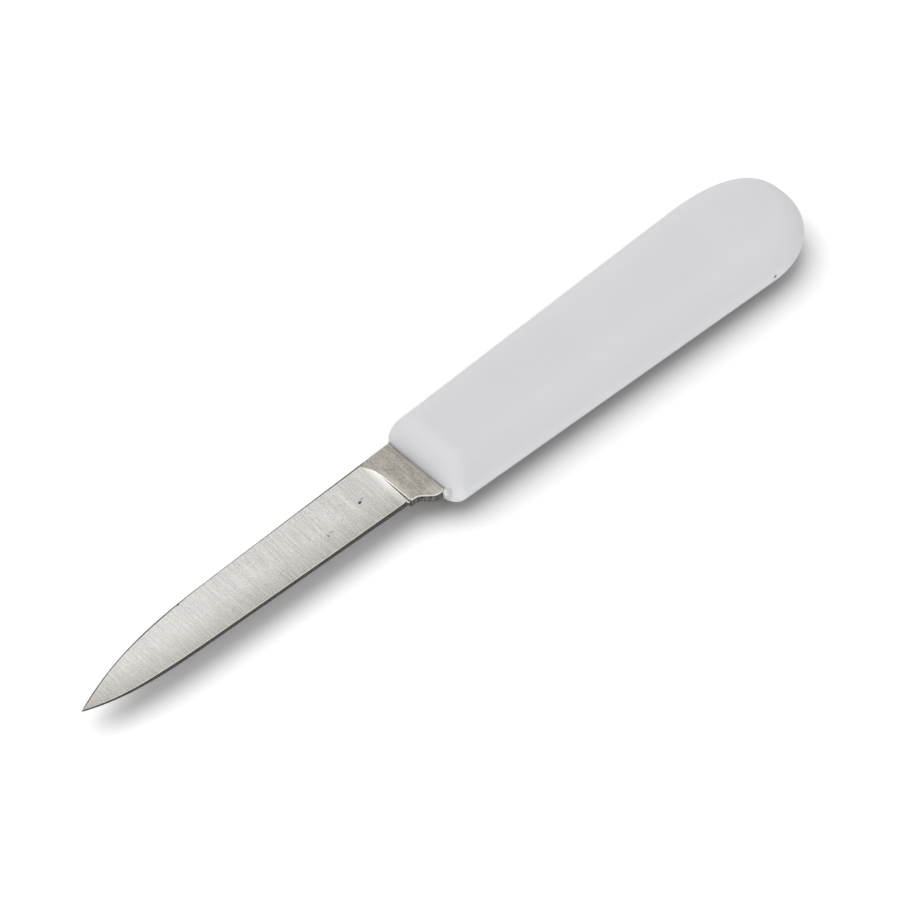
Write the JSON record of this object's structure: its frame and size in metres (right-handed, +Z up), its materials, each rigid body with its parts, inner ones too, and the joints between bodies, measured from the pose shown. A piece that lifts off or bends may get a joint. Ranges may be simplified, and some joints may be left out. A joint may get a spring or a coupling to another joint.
{
  "type": "paring knife",
  "caption": "Paring knife lying on its side: a slender ground spear-point blade with a short flat ricasso, its tang locked in a tapered white moulded handle with a round butt.",
  "frame": {"origin": "under the middle of the knife's box, on the surface that the handle's side rests on", "axes": "+X from the blade's tip to the handle's butt, +Y from the cutting edge to the spine, +Z up, square to the blade's flat"},
  "size_m": [0.1818, 0.0248, 0.0127],
  "materials": {
    "steel": "fine belt grain across the blade, satin",
    "plastic": "white moulded polypropylene, soft satin"
  },
  "bodies": {
    "root": {"blade": "steel", "handle": "plastic"}
  },
  "joints": []
}
